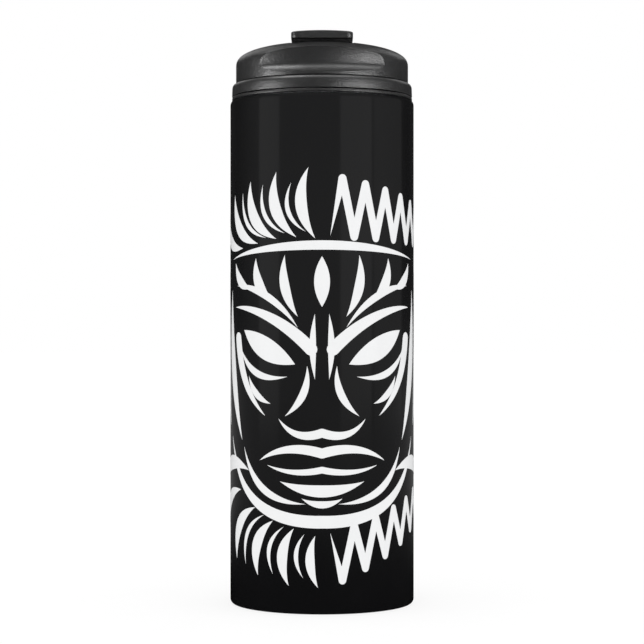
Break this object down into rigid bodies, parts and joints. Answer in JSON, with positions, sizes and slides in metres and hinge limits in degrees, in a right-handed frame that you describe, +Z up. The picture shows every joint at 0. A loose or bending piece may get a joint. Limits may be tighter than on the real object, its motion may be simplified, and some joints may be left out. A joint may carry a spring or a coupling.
{
  "type": "insulated tumbler",
  "caption": "Slim double-walled steel tumbler with a glossy black wrap printed with a white tribal mask, and a black screw-in lid with a flip lever over its sip hole.",
  "frame": {"origin": "centre of the underside, on the surface that the tumbler stands on", "axes": "+Z up along the tumbler's axis; the picture's front, the scoop and the lever's free end face -Y"},
  "size_m": [0.07, 0.07, 0.2152],
  "materials": {
    "printed_gloss": "gloss black with white print",
    "steel": "brushed",
    "copper_foil": "crinkled foil",
    "getter_grey": "sintered matte",
    "seal_glass": "fused bead",
    "foot_rubber": "matte",
    "clear_silicone": "satin",
    "lid_plastic": "satin with a fine grain",
    "foam": "closed-cell foam",
    "black_silicone": "satin"
  },
  "bodies": {
    "vessel": {"printed_wrap": "printed_gloss", "outer_shell": "steel", "outer_base": "steel", "inner_liner": "steel", "liner_floor": "steel", "foil_shield": "copper_foil", "getter": "getter_grey", "vacuum_seal_bead": "seal_glass", "base_pad": "foot_rubber"},
    "gasket": {"rim_gasket": "clear_silicone"},
    "lid": {"lid_plug": "lid_plastic", "sip_tube": "lid_plastic", "vent_tube": "lid_plastic", "insulation_puck": "foam", "passage_seal": "black_silicone", "lid_collar": "lid_plastic", "lid_cap": "lid_plastic", "hinge_pin": "steel"},
    "lever": {"flip_tab": "lid_plastic", "sip_stopper": "black_silicone", "vent_stopper": "black_silicone"}
  },
  "joints": [
    {"name": "lid_rise", "type": "slide", "parent": "vessel", "child": "gasket", "axis": [0, 0, 1], "range_m": [0, 0.0241]},
    {"name": "lid_twist", "type": "hinge", "parent": "gasket", "child": "lid", "pos_m": [0, 0, 0.1914], "axis": [0, 0, 1], "range_deg": [0, 720]},
    {"name": "lever_flip", "type": "hinge", "parent": "lid", "child": "lever", "pos_m": [0, 0.0125, 0.2096], "axis": [-1, 0, 0], "range_deg": [0, 105]}
  ],
  "couplings": [
    {"joint": "lid_rise", "follows": "lid_twist", "m_per_rad": 0.0019099}
  ]
}
